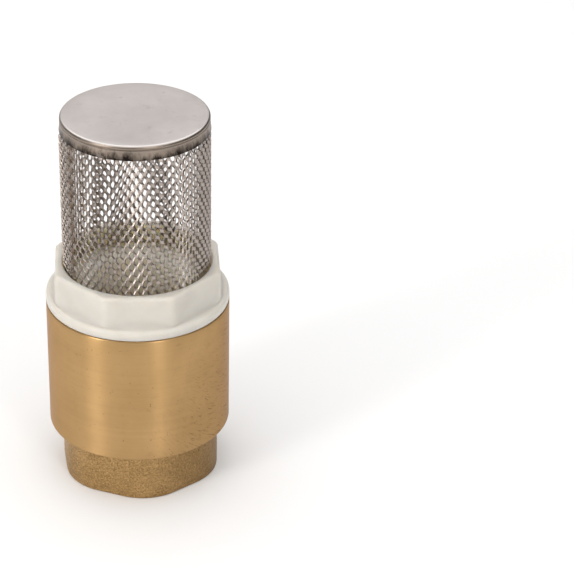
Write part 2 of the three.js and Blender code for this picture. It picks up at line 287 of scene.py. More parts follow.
class Nodes:
    """A short way to write a node material in code."""

    def __init__(self, name):
        self.material = bpy.data.materials.new(name)
        self.material.use_nodes = True
        self.tree = self.material.node_tree
        self.bsdf = self.tree.nodes["Principled BSDF"]
        self.coordinates = self.add("ShaderNodeTexCoord").outputs["Object"]

    def add(self, kind, **settings):
        node = self.tree.nodes.new(kind)
        for key, value in settings.items():
            setattr(node, key, value)
        return node

    def link(self, source, socket):
        self.tree.links.new(source, socket)

    def fill(self, socket, value):
        """Links a socket to the input, or sets the input to a plain value."""
        if isinstance(value, bpy.types.NodeSocket):
            self.link(value, socket)
        else:
            socket.default_value = value

    def math(self, operation, a, b=0.0, clamp=False):
        node = self.add("ShaderNodeMath", operation=operation, use_clamp=clamp)
        self.fill(node.inputs[0], a)
        self.fill(node.inputs[1], b)
        return node.outputs[0]

    def scaled(self, scale):
        """Object coordinates in millimetres, stretched by a factor for each axis."""
        node = self.add("ShaderNodeVectorMath", operation="MULTIPLY")
        self.link(self.coordinates, node.inputs[0])
        node.inputs[1].default_value = [1000 * s for s in scale]
        return node.outputs[0]

    def noise(self, scale=(1, 1, 1), detail=3.0, roughness=0.5, vector=None):
        """Noise with about one feature in each millimetre divided by scale."""
        node = self.add("ShaderNodeTexNoise")
        self.link(vector or self.scaled(scale), node.inputs["Vector"])
        node.inputs["Scale"].default_value = 1
        node.inputs["Detail"].default_value = detail
        node.inputs["Roughness"].default_value = roughness
        return node.outputs["Fac"]

    def ramp(self, factor, stops):
        """Turns a factor into a colour or a grey value, from (position, value) stops."""
        node = self.add("ShaderNodeValToRGB")
        self.link(factor, node.inputs[0])
        while len(node.color_ramp.elements) < len(stops):
            node.color_ramp.elements.new(0.5)
        for element, (position, colour) in zip(node.color_ramp.elements, stops):
            element.position = position
            rgb = colour if isinstance(colour, tuple) else (colour, colour, colour)
            element.color = (*rgb, 1)
        return node.outputs[0]

    def mix(self, factor, a, b):
        """Goes from colour a to colour b as the factor goes from 0 to 1."""
        node = self.add("ShaderNodeMix", data_type="RGBA")
        self.fill(node.inputs[0], factor)
        for socket, value in ((node.inputs[6], a), (node.inputs[7], b)):
            self.fill(socket, (*value, 1) if isinstance(value, tuple) else value)
        return node.outputs[2]

    def bump(self, height, distance, below=None):
        """A bump of a distance in millimetres, on top of the bump below it."""
        node = self.add("ShaderNodeBump")
        node.inputs["Strength"].default_value = 1
        node.inputs["Distance"].default_value = distance * MM
        self.link(height, node.inputs["Height"])
        if below is not None:
            self.link(below, node.inputs["Normal"])
        return node.outputs[0]

    def separate(self):
        """Object coordinates x, y and z, in metres."""
        node = self.add("ShaderNodeSeparateXYZ")
        self.link(self.coordinates, node.inputs[0])
        return node.outputs

    def polar(self):
        """Distance from the axis and height, both in millimetres."""
        x, y, z = self.separate()
        squares = self.math("ADD", self.math("MULTIPLY", x, x), self.math("MULTIPLY", y, y))
        radius = self.math("MULTIPLY", self.math("SQRT", squares), 1000)
        return radius, self.math("MULTIPLY", z, 1000)

    def turned_streaks(self, amount):
        """Stretches reflections along the axis, as the fine grooves left by turning do."""
        tangent = self.add("ShaderNodeTangent", direction_type="RADIAL", axis="Z")
        self.link(tangent.outputs[0], self.bsdf.inputs["Tangent"])
        self.bsdf.inputs["Anisotropic"].default_value = amount
        self.bsdf.inputs["Anisotropic Rotation"].default_value = 0.25

    def finish(self, colour, roughness, normal=None, metallic=0.0):
        self.bsdf.inputs["Metallic"].default_value = metallic
        self.link(colour, self.bsdf.inputs["Base Color"])
        self.link(roughness, self.bsdf.inputs["Roughness"])
        if normal is not None:
            self.link(normal, self.bsdf.inputs["Normal"])
        return self.material


# ---- Materials ----


def turned_brass():
    """Satin barrel with turning lines and a few pits, slanting scuffs low on its +X side, and painted shade
    that darkens that side and the foot.
    """
    m = Nodes("brass_turned_satin")
    blotches = m.noise((0.06, 0.06, 0.06), 4)
    lines = m.noise((0.03, 0.03, 4), 5, 0.65)
    bands = m.noise((0.02, 0.02, 1.1), 4, 0.7)
    colour = m.ramp(blotches, [(0.3, (0.45, 0.282, 0.122)), (0.7, (0.53, 0.335, 0.152))])
    faint = m.ramp(bands, [(0.35, 0.09), (0.60, 0.0)])
    colour = m.mix(faint, colour, (0.25, 0.145, 0.06))
    stains = m.ramp(m.noise((0.16, 0.16, 0.3), 6, 0.7), [(0.60, 0.0), (0.74, 1.0)])
    pits = m.ramp(m.noise((1.1, 1.1, 1.1), 2, 0.5), [(0.70, 0.0), (0.74, 1.0)])
    x, _, z = m.separate()
    across = m.math("ADD", z, m.math("MULTIPLY", x, 0.95))
    slanted = m.add("ShaderNodeCombineXYZ")
    m.link(m.math("MULTIPLY", x, 450), slanted.inputs[0])
    m.link(m.math("MULTIPLY", across, 1500), slanted.inputs[2])
    scuffs = m.noise(detail=5, roughness=0.75, vector=slanted.outputs[0])
    scuffs = m.ramp(scuffs, [(0.54, 0.0), (0.62, 1.0)])
    # scuffs, and a painted shade, both grow toward +X and toward the foot
    wear_and_shade_reach = m.math("ADD", m.math("MULTIPLY", x, 36), m.math("MULTIPLY", z, -18))
    wear_and_shade_reach = m.math("ADD", wear_and_shade_reach, m.math("MULTIPLY", m.noise((0.1, 0.1, 0.1), 3), 0.9))
    wear_and_painted_shade = m.ramp(wear_and_shade_reach, [(0.05, 0.0), (0.7, 1.0)])
    scuffs = m.math("MULTIPLY", scuffs, wear_and_painted_shade)
    marks = m.math("ADD", m.math("MULTIPLY", stains, 0.25), m.math("MULTIPLY", scuffs, 0.6))
    marks = m.math("ADD", marks, m.math("MULTIPLY", pits, 0.5), clamp=True)
    # painted shade: the +X side and the foot darkened by up to 15 %
    colour = m.mix(m.math("MULTIPLY", wear_and_painted_shade, 0.15), colour, (0.20, 0.115, 0.05))
    colour = m.mix(marks, colour, (0.17, 0.09, 0.04))
    rough = m.math("ADD", m.math("MULTIPLY", lines, 0.16), m.math("MULTIPLY", blotches, 0.08))
    rough = m.math("ADD", m.math("ADD", rough, m.math("MULTIPLY", marks, 0.12)), 0.21)
    normal = m.bump(lines, 0.014)
    normal = m.bump(bands, 0.018, below=normal)
    normal = m.bump(m.math("SUBTRACT", 1, marks), 0.03, below=normal)
    m.turned_streaks(0.8)
    m.bsdf.inputs["Specular Tint"].default_value = (0.78, 0.68, 0.62, 1)
    return m.finish(colour, rough, normal, 1.0)


def cast_brass():
    """A sand casting's skin with dark pits, grains painted lighter as glints, and painted shade darkening
    it toward +X.
    """
    m = Nodes("brass_cast_rough")
    grain = m.noise((1.7, 1.7, 1.7), 4, 0.65)
    coarse = m.noise((0.7, 0.7, 0.7), 3, 0.6)
    patches = m.noise((0.12, 0.12, 0.12), 3)
    colour = m.ramp(patches, [(0.3, (0.38, 0.237, 0.095)), (0.7, (0.49, 0.312, 0.137))])
    # painted highlights: grain peaks coloured lighter so that they sparkle
    painted_glints = m.ramp(grain, [(0.54, 0.0), (0.64, 1.0)])
    colour = m.mix(m.math("MULTIPLY", painted_glints, 0.45), colour, (0.76, 0.50, 0.22))
    pits = m.ramp(grain, [(0.36, 1.0), (0.50, 0.0)])
    colour = m.mix(m.math("MULTIPLY", pits, 0.6), colour, (0.15, 0.085, 0.03))
    x, _, _ = m.separate()
    # painted shade: the +X side darkened by up to 45 %
    painted_shade_plus_x = m.ramp(m.math("MULTIPLY", x, 35), [(0.3, 0.0), (0.9, 0.45)])
    colour = m.mix(painted_shade_plus_x, colour, (0.12, 0.066, 0.026))
    rough = m.math("ADD", m.math("MULTIPLY", grain, 0.25), 0.28)
    normal = m.bump(coarse, 0.30)
    normal = m.bump(grain, 0.45, below=normal)
    return m.finish(colour, rough, normal, 1.0)


def machined_brass():
    """Bright cut metal with fine rings left by the tool."""
    m = Nodes("brass_machined_bright")
    radius, height = m.polar()
    rings = m.add("ShaderNodeCombineXYZ")
    m.link(m.math("MULTIPLY", radius, 7), rings.inputs[0])
    m.link(m.math("MULTIPLY", height, 7), rings.inputs[1])
    lines = m.noise(detail=4, roughness=0.6, vector=rings.outputs[0])
    cloud = m.noise((0.18, 0.18, 0.18), 4)
    colour = m.ramp(cloud, [(0.3, (0.64, 0.45, 0.205)), (0.7, (0.70, 0.495, 0.24))])
    dark = m.ramp(m.noise((1.4, 1.4, 1.4), 4, 0.7), [(0.66, 0.0), (0.76, 1.0)])
    colour = m.mix(m.math("MULTIPLY", dark, 0.45), colour, (0.30, 0.17, 0.08))
    rough = m.math("ADD", m.math("MULTIPLY", lines, 0.14), m.math("MULTIPLY", cloud, 0.04))
    rough = m.math("ADD", rough, 0.15)
    normal = m.bump(lines, 0.014)
    normal = m.bump(m.noise((1.2, 1.2, 1.2), 3), 0.012, below=normal)
    return m.finish(colour, rough, normal, 1.0)


def nylon(name, tint, subsurface=0.35, bore=False):
    """Natural nylon, a little translucent. With bore, the inside of the nut is coloured far brighter, as
    painted light where the cap and mesh shade it.
    """
    m = Nodes(name)
    cloud = m.noise((0.12, 0.12, 0.12), 4)
    darker = tuple(0.93 * c for c in tint)
    colour = m.ramp(cloud, [(0.35, darker), (0.65, tint)])
    specks = m.ramp(m.noise((0.8, 0.8, 0.8), 2), [(0.76, 0.0), (0.80, 1.0)])
    scuffs = m.ramp(m.noise((0.25, 0.25, 2.2), 5, 0.7), [(0.66, 0.0), (0.80, 1.0)])
    marks = m.math("ADD", m.math("MULTIPLY", specks, 0.30), m.math("MULTIPLY", scuffs, 0.10), clamp=True)
    colour = m.mix(marks, colour, (0.40, 0.35, 0.29))
    rough = m.math("ADD", m.math("MULTIPLY", cloud, 0.12), 0.30)
    normal = m.bump(m.noise((0.5, 0.5, 0.5), 4), 0.05)
    normal = m.bump(m.noise((4, 4, 4), 3), 0.008, below=normal)
    if bore:
        radius, _ = m.polar()
        # 0.5 is the wall of the recess
        inside = m.ramp(m.math("DIVIDE", radius, 2 * RECESS_R), [(0.5, 1.0), (0.503, 0.0)])
        # painted light: everything within the recess wall coloured much brighter than the nut
        colour = m.mix(inside, colour, (0.96, 0.87, 0.74))
    m.bsdf.inputs["Subsurface Weight"].default_value = subsurface
    m.bsdf.inputs["Subsurface Radius"].default_value = (1.0, 0.9, 0.7)
    m.bsdf.inputs["Subsurface Scale"].default_value = 0.005
    return m.finish(colour, rough, normal)


def black_moulding():
    m = Nodes("plastic_black_moulded")
    cloud = m.noise((0.4, 0.4, 0.4), 4)
    colour = m.ramp(cloud, [(0.3, (0.012, 0.012, 0.013)), (0.7, (0.026, 0.026, 0.028))])
    rough = m.math("ADD", m.math("MULTIPLY", cloud, 0.2), 0.35)
    return m.finish(colour, rough, m.bump(m.noise((3, 3, 3), 3), 0.01))


def rubber():
    m = Nodes("rubber_black")
    grain = m.noise((2.5, 2.5, 2.5), 4)
    colour = m.ramp(grain, [(0.3, (0.010, 0.010, 0.010)), (0.7, (0.020, 0.020, 0.020))])
    rough = m.math("ADD", m.math("MULTIPLY", grain, 0.2), 0.6)
    return m.finish(colour, rough, m.bump(grain, 0.02))


def spring_wire():
    m = Nodes("spring_wire_stainless")
    drawn = m.noise((1.5, 1.5, 1.5), 4)
    colour = m.ramp(drawn, [(0.3, (0.42, 0.40, 0.38)), (0.7, (0.58, 0.56, 0.54))])
    rough = m.math("ADD", m.math("MULTIPLY", drawn, 0.2), 0.22)
    return m.finish(colour, rough, m.bump(drawn, 0.01), 1.0)


def mesh_steel():
    """Stainless expanded metal, tinted brown by the weld along the lap seam."""
    m = Nodes("stainless_expanded_metal")
    cloud = m.noise((0.5, 0.5, 0.5), 4)
    colour = m.ramp(cloud, [(0.3, (0.31, 0.268, 0.24)), (0.7, (0.44, 0.385, 0.35))])
    x, y, _ = m.separate()
    angle = m.math("ARCTAN2", y, x)
    away = m.math("ABSOLUTE", m.math("SUBTRACT", angle, LAP_EDGE_ANGLE - 0.03))
    wander = m.math("MULTIPLY", m.noise((0.25, 0.25, 0.25), 3), 0.12)
    tint = m.ramp(m.math("ADD", away, wander), [(0.06, 1.0), (0.12, 0.0)])
    colour = m.mix(m.math("MULTIPLY", tint, 0.75), colour, (0.16, 0.10, 0.06))
    rough = m.math("ADD", m.math("MULTIPLY", cloud, 0.2), 0.24)
    return m.finish(colour, rough, m.bump(m.noise((4, 4, 4), 3), 0.02), 1.0)


def cap_steel():
    """Satin stainless sheet, smudged on top, with painted shade on the skirt: darker and browner than the
    top, near black along its ragged lower edge.
    """
    m = Nodes("stainless_satin_sheet")
    cloud = m.noise((0.09, 0.09, 0.09), 5, 0.6)
    fine = m.noise((0.4, 3.5, 3.5), 5, 0.65)
    colour = m.ramp(cloud, [(0.3, (0.60, 0.565, 0.545)), (0.7, (0.68, 0.645, 0.62))])
    radius, height = m.polar()
    rolled = m.math("MULTIPLY", radius, 1 / CAP_R)
    on_skirt = m.ramp(rolled, [(0.975, 0.0), (0.99, 1.0)])
    drop = m.math("DIVIDE", m.math("SUBTRACT", CAP_TOP, height), CAP_TOP - SKIRT_BOTTOM)
    edge_noise = m.noise((0.35, 0.35, 0.14), 5, 0.75)
    painted_skirt_shade = m.math("ADD", m.math("MULTIPLY", edge_noise, 1.1), m.math("MULTIPLY", drop, 0.55))
    painted_skirt_shade = m.ramp(m.math("SUBTRACT", painted_skirt_shade, 0.3), [(0.48, 0.0), (0.80, 1.0)])
    # painted shade: the skirt coloured far darker than the top of the same sheet, and darker still toward
    # its lower edge
    brown = m.mix(painted_skirt_shade, (0.27, 0.22, 0.18), (0.02, 0.014, 0.012))
    colour = m.mix(on_skirt, colour, brown)
    smudge = m.ramp(m.noise((0.3, 0.3, 0.3), 5, 0.75), [(0.58, 0.0), (0.72, 1.0)])
    colour = m.mix(m.math("MULTIPLY", smudge, 0.35), colour, (0.38, 0.34, 0.32))
    rough = m.math("ADD", m.math("MULTIPLY", fine, 0.12), m.math("MULTIPLY", cloud, 0.10))
    rough = m.math("ADD", m.math("ADD", rough, 0.20), m.math("MULTIPLY", on_skirt, 0.06))
    normal = m.bump(fine, 0.004)
    normal = m.bump(m.noise((0.14, 0.14, 0.14), 2), 0.04, below=normal)
    return m.finish(colour, rough, normal, 1.0)


def floor_paint():
    m = Nodes("floor_pale")
    cloud = m.noise((0.004, 0.004, 0.004), 2)
    colour = m.ramp(cloud, [(0.3, (0.90, 0.90, 0.90)), (0.7, (0.92, 0.92, 0.92))])
    rough = m.math("ADD", m.math("MULTIPLY", cloud, 0.1), 0.75)
    return m.finish(colour, rough)


# ---- Valve body ----

# places of the three brass finishes in the body's list of materials
TURNED, CAST, MACHINED = range(3)


def thread_wave(phase):
    """A rounded thread form, from -1 at the crest to 1 at the root, for a phase in turns."""
    triangle = 2 * np.abs(2 * (phase % 1) - 1) - 1
    return np.tanh(1.7 * triangle) / math.tanh(1.7)


def thread_radius(angle, z):
    """Radius of the internal thread, which runs out before the web."""
    wave = thread_wave(z / THREAD_PITCH - angle / TAU)
    full = THREAD_MEAN_R + wave * (THREAD_MAJOR_R - THREAD_MINOR_R) / 2
    fade = np.clip((z - RUN_OUT_START) / (RUN_OUT_END - RUN_OUT_START), 0, 1)
    return full * (1 - fade) + RUN_OUT_R * fade


def body_shell():
    """The casting without its web, and the finish of each of its faces."""
    top_edge, foot_edge, fillet, end_edge = 0.35, 0.45, 0.9, 0.4
    columns = 384
    angle = np.arange(columns) * TAU / columns
    hexagon = polygon_radius(angle, 6, HEX_FLATS, HEX_CORNER_R, HEX_ANGLE)
    rows = []

    def ring(radius, z, look):
        radii = np.broadcast_to(radius, angle.shape).astype(float)
        rows.append((radii, np.full(columns, float(z)), look))

    # inlet, top face and barrel, going down the outside
    ring(INLET_R, BODY_TOP, TURNED)
    ring(BODY_R - top_edge, BODY_TOP, TURNED)
    for r, z in arc(BODY_R - top_edge, BODY_TOP - top_edge, top_edge, 60, 0, 3):
        ring(r, z, TURNED)
    for z in np.linspace(BODY_TOP - 4, BARREL_BOTTOM + 0.8, 12):
        ring(BODY_R, z, TURNED)
    for r, z in arc(BODY_R - foot_edge, BARREL_BOTTOM + foot_edge, foot_edge, 0, -90, 4):
        ring(r, z, TURNED)
    # the cast ledge under the barrel, in to the collar
    ledge_outer, ledge_inner = BODY_R - foot_edge, hexagon + fillet
    for share in np.linspace(0.08, 0.92, 10):
        ring(ledge_outer + (ledge_inner - ledge_outer) * share, BARREL_BOTTOM, CAST)
    for r, z in arc(fillet, BARREL_BOTTOM - fillet, fillet, 90, 180, 4)[1:]:
        ring(hexagon + r, z, CAST)
    # the collar's cast sides and the small radius at its lower edge
    for z in np.arange(BARREL_BOTTOM - fillet - 0.25, 0.7, -0.28):
        ring(hexagon, z, CAST)
    for r, z in arc(-end_edge, end_edge, end_edge, 0, -70, 3):
        ring(hexagon + r, z, CAST)
    # end face, in to the mouth
    for share in np.linspace(0, 1, 6):
        ring((hexagon - 0.55) * (1 - share) + MOUTH_R * share, 0, MACHINED)
    # thread, cut back by a 45 degree chamfer at the mouth
    for z in np.arange(0.15, WEB_Z - 2.1, 0.12):
        ring(np.maximum(thread_radius(angle, z), MOUTH_R - z), z, MACHINED)
    # relief groove, chamber and the seat bush's socket, up the inside
    for r, z in [
        (RUN_OUT_R, WEB_Z - 1.9),
        (RELIEF_R, WEB_Z - 1.6),
        (RELIEF_R, WEB_Z),
        (RELIEF_R, WEB_TOP),
        (CHAMBER_R, WEB_TOP),
        (CHAMBER_R, BUSH_BOTTOM),
        (INLET_R, BUSH_BOTTOM),
    ]:
        ring(r, z, MACHINED)

    radius = np.array([row[0] for row in rows])
    height = np.array([row[1] for row in rows])
    looks = [row[2] for row in rows]
    roughen_casting(radius, height, looks)
    return surface("valve_body_shell", radius, height, True, 40), np.repeat(looks, columns)


def roughen_casting(radius, height, looks):
    """Gives the cast rows an uneven skin: the sides move in and out, the ledge up and down."""
    cast = [i for i, look in enumerate(looks) if look == CAST]
    rows = slice(cast[0], cast[-1] + 1)
    skin = 0.09 * noise_grid(radius[rows], height[rows], 0.9, 3)
    skin += 0.10 * noise_grid(radius[rows], height[rows], 6.0, 2)
    ledge = np.abs(height[rows] - BARREL_BOTTOM) < 0.01
    below_barrel = np.clip((BODY_R - 0.4 - radius[rows]) / 0.5, 0, 1)
    above_end = np.clip((height[rows] - 0.05) / 0.8, 0, 1)
    radius[rows] += np.where(ledge, 0, skin * above_end)
    height[rows] += np.where(ledge, skin * below_barrel, 0)


def soft_corner(start, corner, end, steps=5):
    """Points of a rounded corner: a curve from start to end that bends toward the corner."""
    start, corner, end = np.array([start, corner, end])
    shares = np.linspace(0, 1, steps + 2)[1:-1]
    return [tuple((1 - t) ** 2 * start + 2 * t * (1 - t) * corner + t * t * end) for t in shares]


def port_outline(inner_r, outer_r, half, corner):
    """One kidney-shaped port on the +X side of x = half, with a ragged outer edge and soft corners."""
    outer = math.acos(half / outer_r)
    inner = math.acos(half / inner_r)
    outer_end = outer - corner / outer_r
    inner_end = inner - corner / inner_r
    outer_arc = []
    for angle in np.linspace(-outer_end, outer_end, 90):
        ragged = 0.16 * fractal(20, 6 * angle, half, 0.5, 3)
        outer_arc.append(on_circle(outer_r + ragged, angle))
    inner_arc = [on_circle(inner_r, angle) for angle in np.linspace(inner_end, -inner_end, 48)]
    outer_y, inner_y = outer_r * math.sin(outer), inner_r * math.sin(inner)
    points = list(outer_arc)
    points += soft_corner(outer_arc[-1], (half, outer_y), (half, outer_y - corner))
    points += [(half, outer_y - corner), (half, inner_y + corner)]
    points += soft_corner((half, inner_y + corner), (half, inner_y), inner_arc[0])
    points += inner_arc
    points += soft_corner(inner_arc[-1], (half, -inner_y), (half, -inner_y - corner))
    points += [(half, -inner_y - corner), (half, corner - outer_y)]
    points += soft_corner((half, corner - outer_y), (half, -outer_y), outer_arc[0])
    return points


def body_web():
    """The plate across the socket: a hub and a bridge between two kidney-shaped ports."""
    curve = bpy.data.curves.new("valve_body_web", "CURVE")
    curve.dimensions = "2D"
    curve.fill_mode = "BOTH"
    edge, port_corner = 0.18, 1.0
    curve.extrude = ((WEB_TOP - WEB_Z) / 2 - edge) * MM
    curve.bevel_depth = edge * MM
    curve.bevel_resolution = 2

    def outline(points):
        spline = curve.splines.new("POLY")
        spline.points.add(len(points) - 1)
        for target, (x, y) in zip(spline.points, points):
            target.co = (x * MM, y * MM, 0, 1)
        spline.use_cyclic_u = True

    def circle(radius, count):
        return [on_circle(radius, TAU * i / count) for i in range(count)]

    outline(circle(RELIEF_R + 0.5, 160))
    outline(circle(HUB_BORE_R + edge, 72))
    port = port_outline(HUB_R + edge, PORT_R - edge, BRIDGE_WIDTH / 2 + edge, port_corner)
    outline(port)
    outline([(-x, -y) for x, y in port])
    obj = bpy.data.objects.new("valve_body_web", curve)
    bpy.context.scene.collection.objects.link(obj)
    depsgraph = bpy.context.evaluated_depsgraph_get()
    mesh = bpy.data.meshes.new_from_object(obj.evaluated_get(depsgraph))
    mesh.transform(Matrix.Translation((0, 0, (WEB_Z + WEB_TOP) / 2 * MM)))
    bpy.data.objects.remove(obj)
    web = bpy.data.objects.new("valve_body_web", mesh)
    bpy.context.scene.collection.objects.link(web)
    weld(web)
    smooth(web, 35)
    return web


def body_guide():
    """The tube on the web that the stem slides in."""
    low = WEB_Z + COUNTERBORE
    outline = [(GUIDE_BORE_R, low), (GUIDE_BORE_R, GUIDE_TOP - 0.4), (GUIDE_BORE_R + 0.4, GUIDE_TOP)]
    outline += [(GUIDE_R - 0.4, GUIDE_TOP), (GUIDE_R, GUIDE_TOP - 0.4), (GUIDE_R, low)]
    return turned("valve_body_guide", outline, 96)


def paint(obj, looks, faces_look):
    """Gives the object all the materials in looks, and each face the one at its place in the list."""
    for look in looks:
        obj.data.materials.append(look)
    obj.data.polygons.foreach_set("material_index", faces_look)


def valve_body(looks):
    shell, faces_look = body_shell()
    paint(shell, looks, faces_look)
    web, guide = body_web(), body_guide()
    for solid in (web, guide):
        paint(solid, looks, [MACHINED] * len(solid.data.polygons))
    body = joined("valve_body_casting", [shell, web, guide])
    place(body, "valve", "body_brass", "valve_body")


# ---- Seat bush and its ring ----


def inlet_bush(look):
    """A ring with a raised seat at its lower end and a groove round it for the O-ring."""
    seat_height, seat_edge = 4.5, 0.6
    groove_r = BUSH_R - 2.4
    groove_low = (RING_LOW + RING_HIGH) / 2 - 1.3
    groove_high = groove_low + 2.6
    outline = [(SEAT_R, BUSH_BOTTOM + seat_height), (SEAT_R, BUSH_BOTTOM + seat_edge)]
    outline += arc(SEAT_R + seat_edge, BUSH_BOTTOM + seat_edge, seat_edge, 180, 270, 5)
    outline += [(SEAT_R + 2.2, BUSH_BOTTOM), (SEAT_R + 2.6, BUSH_BOTTOM + 0.5)]
    outline += [(BUSH_R - 0.5, BUSH_BOTTOM + 0.5), (BUSH_R, BUSH_BOTTOM + 1)]
    outline += [(BUSH_R, groove_low), (groove_r, groove_low)]
    outline += [(groove_r, groove_high), (BUSH_R, groove_high), (BUSH_R, BUSH_TOP)]
    outline += [(THREAD_MAJOR_R, BUSH_TOP), (THREAD_MAJOR_R, BUSH_BOTTOM + seat_height)]
    bush = turned("seat_bush", outline, 160)
    bush.data.materials.append(look)
    place(bush, "valve", "bush_brass", "inlet_bush")


def bush_ring(look):
    wire_r = (RING_HIGH - RING_LOW) / 2
    outline = arc(RING_R - wire_r, (RING_LOW + RING_HIGH) / 2, wire_r, 0, -345, 23)
    ring = turned("bush_o_ring_rubber", outline, 160)
    ring.data.materials.append(look)
    place(ring, "valve", "nitrile_rubber", "bush_o_ring")


# ---- Poppet ----


def poppet_stem(look):
    """A pin with a rounded tip, a shoulder that carries the disc, and a head over the retainer."""
    tip_edge, head_r = 0.6, 4.7
    shoulder_z = DISC_BOTTOM - SHOULDER_HEIGHT
    tip = [(0, STEM_TIP)] + arc(STEM_R - tip_edge, STEM_TIP + tip_edge, tip_edge, -90, 0, 5)
    shoulder = [(STEM_R, shoulder_z), (SHOULDER_R - 0.4, shoulder_z), (SHOULDER_R, shoulder_z + 0.4)]
    neck = [(SHOULDER_R, DISC_BOTTOM), (STEM_R, DISC_BOTTOM), (STEM_R, RETAINER_TOP)]
    head = [(head_r, RETAINER_TOP), (head_r, RETAINER_TOP + 0.4)]
    head += [(3.5, STEM_TOP - 0.1), (3.2, STEM_TOP), (0, STEM_TOP)]
    stem = turned("stem_moulding", tip + shoulder + neck + head, 72)
    stem.data.materials.append(look)
    place(stem, "poppet", "white_nylon", "poppet_stem")


def poppet_disc(look):
    """A washer with a rounded rim and a shallow dish in its back, between the hub and the rim."""
    low, high = DISC_BOTTOM, DISC_TOP
    dish, rim = 0.5, 0.8
    outline = [(DISC_BORE_R, high), (DISC_BORE_R, low)]
    outline += [(7, low), (7.6, low + dish), (DISC_R - 4.4, low + dish), (DISC_R - 3.8, low)]
    outline += arc(DISC_R - rim, low + rim, rim, -90, 0, 5)
    outline += [(DISC_R, high - 0.3), (DISC_R - 0.3, high)]
    disc = turned("disc_moulding", outline, 160)
    disc.data.materials.append(look)
    place(disc, "poppet", "black_plastic", "poppet_disc")


def seat_seal(look):
    edge = 0.4
    outline = [(DISC_BORE_R, SEAL_TOP), (DISC_BORE_R, DISC_TOP)]
    outline += [(SEAL_R - 0.3, DISC_TOP), (SEAL_R, DISC_TOP + 0.3)]
    outline += arc(SEAL_R - edge, SEAL_TOP - edge, edge, 0, 90, 4)
    seal = turned("seal_washer", outline, 160)
    seal.data.materials.append(look)
    place(seal, "poppet", "nitrile_rubber", "seat_seal")


def seal_retainer(look):
    """A washer with a rounded rim and a shallow dish in its face."""
    low, high = SEAL_TOP, RETAINER_TOP
    dish, rim = 0.6, 1.2
    outline = [(DISC_BORE_R, high), (DISC_BORE_R, low), (RETAINER_R, low), (RETAINER_R, high - rim)]
    outline += arc(RETAINER_R - rim, high - rim, rim, 0, 90, 6)
    outline += [(RETAINER_R - 3.6, high), (RETAINER_R - 4.2, high - dish), (8.2, high - dish), (7.6, high)]
    retainer = turned("retainer_moulding", outline, 144)
    retainer.data.materials.append(look)
    place(retainer, "poppet", "white_nylon", "seal_retainer")


# ---- Return spring ----


def return_spring(look):
    """A coil with closed ends."""
    mean_r = SPRING_OUTER_R - SPRING_WIRE_R
    low, high = SPRING_LOW + SPRING_WIRE_R, SPRING_HIGH - SPRING_WIRE_R
    steps_per_turn, sides = 48, 14
    steps = int(SPRING_TURNS * steps_per_turn)
    # the closed part of each end, and how far the wire rises in it
    end_turns, end_rise = 0.75, 2.2 * SPRING_WIRE_R
    turn_marks = [0, end_turns, SPRING_TURNS - end_turns, SPRING_TURNS]
    height_marks = [low, low + end_rise, high - end_rise, high]
    vertices = []
    for turn in np.linspace(0, SPRING_TURNS, steps + 1):
        angle = TAU * turn
        height = np.interp(turn, turn_marks, height_marks)
        for side in range(sides):
            outward, upward = on_circle(SPRING_WIRE_R, TAU * side / sides)
            vertices.append((*on_circle(mean_r + outward, angle), height + upward))
    faces = []
    for step in range(steps):
        for side in range(sides):
            here, beside = step * sides + side, step * sides + (side + 1) % sides
            faces.append((here, here + sides, beside + sides, beside))
    faces.append(tuple(range(sides)))
    faces.append(tuple(steps * sides + side for side in reversed(range(sides))))
    spring = new_object("spring_coil", vertices, faces)
    spring.data.materials.append(look)
    place(spring, "valve", "spring_steel", "return_spring")
    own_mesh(spring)


# ---- Strainer nut ----


